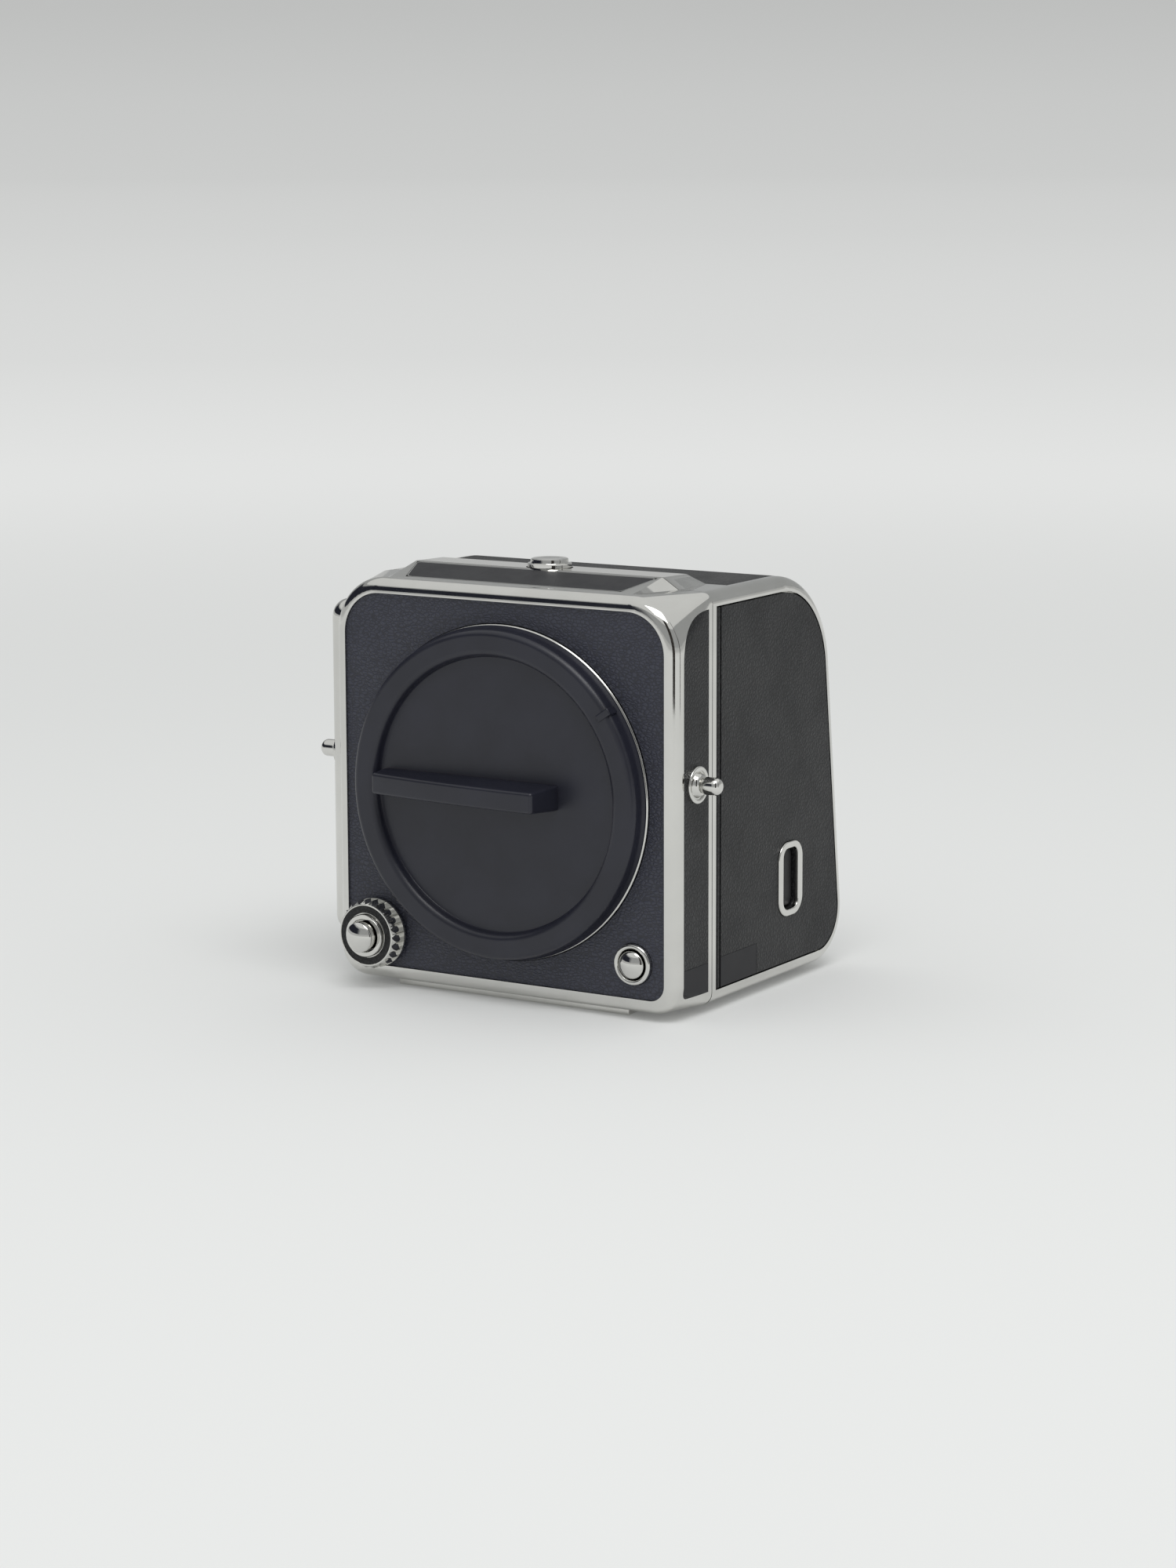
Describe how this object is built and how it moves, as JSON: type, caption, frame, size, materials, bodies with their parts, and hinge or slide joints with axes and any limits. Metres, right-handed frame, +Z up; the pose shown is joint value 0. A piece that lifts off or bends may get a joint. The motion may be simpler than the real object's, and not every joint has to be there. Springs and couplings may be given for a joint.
{
  "type": "medium format digital camera",
  "caption": "Square medium format camera body with a capped lens mount, a front dial with shutter button, and a digital back with tilting screen, side door and keys.",
  "frame": {"origin": "mouth of the tripod thread on the underside of the base plate", "axes": "+X to the right of the front view, -Y out of the front through the lens mount, +Z up"},
  "size_m": [0.1013, 0.0858, 0.094],
  "materials": {
    "polished_metal": "polished",
    "front_hide": "wrinkled grain",
    "side_hide": "pebble grain",
    "cap_plastic": "fine matte moulding",
    "label_plate": "dark satin gloss",
    "black_paint": "matte black",
    "plain_steel": "plain",
    "cast_alloy": "cast",
    "board": "solder mask",
    "clear_glass": "coated",
    "chip": "iridescent dark",
    "black_plastic": "matte",
    "foot_rubber": "matte"
  },
  "bodies": {
    "camera": {"body_frame": "polished_metal", "body_base": "polished_metal", "front_leather": "front_hide", "side_leather_right": "side_hide", "side_leather_left": "side_hide", "body_badge": "label_plate", "mount_flange": "polished_metal", "flange_screws": "plain_steel", "mount_wall": "black_paint", "throat_baffle": "black_paint", "rear_flange": "black_paint", "body_board": "board", "tripod_plate": "plain_steel", "tripod_bush": "plain_steel", "plate_screws": "plain_steel", "strap_lugs": "polished_metal", "lug_plates": "polished_metal", "dial_post": "polished_metal", "shutter_spring": "plain_steel", "release_bezel": "polished_metal", "release_spring": "plain_steel"},
    "dial": {"control_dial": "polished_metal", "dial_ring": "front_hide"},
    "shutter": {"shutter_button": "polished_metal"},
    "release": {"release_button": "polished_metal", "lock_pin": "plain_steel"},
    "cap": {"body_cap": "cap_plastic"},
    "plate": {"name_plate": "label_plate"},
    "back": {"back_frame": "polished_metal", "back_front_plate": "black_paint", "sensor_glass": "clear_glass", "sensor": "chip", "sensor_carrier": "cast_alloy", "main_board": "board", "chassis": "cast_alloy", "battery": "black_plastic", "card_block": "black_plastic", "cards": "black_plastic", "port_block": "black_plastic", "back_leather_top": "side_hide", "back_leather_left": "side_hide", "screen_tray": "black_paint", "key_board": "board", "rear_feet": "foot_rubber", "base_screws": "plain_steel"},
    "door": {"side_door": "side_hide", "back_leather_right": "side_hide", "back_badge": "label_plate", "door_bezel": "polished_metal"},
    "door_push": {"door_button": "black_plastic"},
    "screen": {"screen_housing": "black_paint", "screen_panel": "chip", "screen_glass": "clear_glass", "screen_pins": "plain_steel"},
    "key_body_1": {"key_1": "black_plastic"},
    "key_body_2": {"key_2": "black_plastic"},
    "key_body_3": {"key_3": "black_plastic"},
    "key_body_4": {"key_4": "black_plastic"},
    "key_body_5": {"key_5": "black_plastic"},
    "back_release_push": {"back_release": "polished_metal"}
  },
  "joints": [
    {"name": "dial_turn", "type": "hinge", "parent": "camera", "child": "dial", "pos_m": [-0.0325, -0.011, 0.012], "axis": [0, 1, 0], "continuous": true},
    {"name": "shutter_press", "type": "slide", "parent": "camera", "child": "shutter", "axis": [0, 1, 0], "range_m": [0, 0.0012], "stiffness_N_per_m": 800, "deforming": ["shutter_spring"]},
    {"name": "lens_release_press", "type": "slide", "parent": "camera", "child": "release", "axis": [0, 1, 0], "range_m": [0, 0.0015], "stiffness_N_per_m": 900, "deforming": ["release_spring"]},
    {"name": "cap_twist", "type": "hinge", "parent": "camera", "child": "cap", "pos_m": [0, -0.009, 0.0456], "axis": [0, -1, 0], "range_deg": [0, 60]},
    {"name": "plate_lift", "type": "slide", "parent": "camera", "child": "plate", "axis": [0, -0.2089, 0.9779], "range_m": [0, 0.008]},
    {"name": "back_slide", "type": "slide", "parent": "camera", "child": "back", "axis": [0, 1, 0], "range_m": [0, 0.03]},
    {"name": "door_swing", "type": "hinge", "parent": "back", "child": "door", "pos_m": [0.04235, 0.00845, 0.0456], "axis": [0, 0, -1], "range_deg": [0, 90]},
    {"name": "door_button_press", "type": "slide", "parent": "door", "child": "door_push", "axis": [-1, 0, 0], "range_m": [0, 0.001], "stiffness_N_per_m": 900},
    {"name": "screen_tilt", "type": "hinge", "parent": "back", "child": "screen", "pos_m": [0, 0.0565, 0.06626], "axis": [1, 0, 0], "range_deg": [0, 90]},
    {"name": "key_1_press", "type": "slide", "parent": "back", "child": "key_body_1", "axis": [0, -0.9931, -0.117], "range_m": [0, 0.0006], "stiffness_N_per_m": 1200},
    {"name": "key_2_press", "type": "slide", "parent": "back", "child": "key_body_2", "axis": [0, -0.9931, -0.117], "range_m": [0, 0.0006], "stiffness_N_per_m": 1200},
    {"name": "key_3_press", "type": "slide", "parent": "back", "child": "key_body_3", "axis": [0, -0.9931, -0.117], "range_m": [0, 0.0006], "stiffness_N_per_m": 1200},
    {"name": "key_4_press", "type": "slide", "parent": "back", "child": "key_body_4", "axis": [0, -0.9931, -0.117], "range_m": [0, 0.0006], "stiffness_N_per_m": 1200},
    {"name": "key_5_press", "type": "slide", "parent": "back", "child": "key_body_5", "axis": [0, -0.9931, -0.117], "range_m": [0, 0.0006], "stiffness_N_per_m": 1200},
    {"name": "back_release_press", "type": "slide", "parent": "back", "child": "back_release_push", "axis": [0, 0, -1], "range_m": [0, 0.0012], "stiffness_N_per_m": 900}
  ]
}
